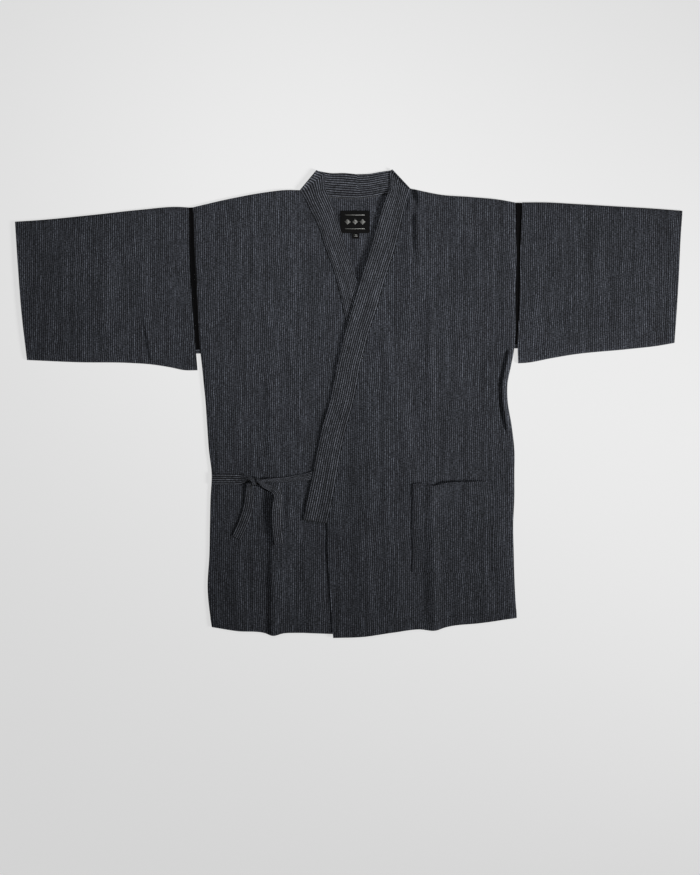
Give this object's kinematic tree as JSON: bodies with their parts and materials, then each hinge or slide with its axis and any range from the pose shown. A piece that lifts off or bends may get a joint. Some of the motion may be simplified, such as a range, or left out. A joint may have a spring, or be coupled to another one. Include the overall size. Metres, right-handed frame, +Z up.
{
  "type": "jinbei jacket",
  "caption": "Short-sleeved wrap jacket laid out flat, left front over right, with a band collar, patch pocket, openwork sleeve joins and a knotted waist tie.",
  "frame": {"origin": "middle of the bounding box on the surface that the jacket lies on", "axes": "+X towards the wearer's left sleeve, +Y towards the neck, +Z up, away from the surface it lies on"},
  "size_m": [1.167, 0.8198, 0.0116],
  "materials": {
    "striped_cotton": "crinkled charcoal cotton with fine pale broken stripes down its length",
    "striped_band": "the same cotton folded into a band, stripes along it",
    "black_lacing": "black thread openwork",
    "woven_label": "smooth black woven tape"
  },
  "bodies": {
    "root": {"back_right": "striped_cotton", "back_left": "striped_cotton", "front_right": "striped_cotton", "front_left": "striped_cotton", "pocket": "striped_cotton", "sleeve_right": "striped_cotton", "sleeve_left": "striped_cotton", "lacing_right": "black_lacing", "lacing_left": "black_lacing", "stay_right": "striped_cotton", "stay_left": "striped_cotton", "collar_right": "striped_band", "collar_left": "striped_band", "tie_side": "striped_band", "tie_front": "striped_band", "label": "woven_label", "size_tab": "woven_label"}
  },
  "joints": []
}
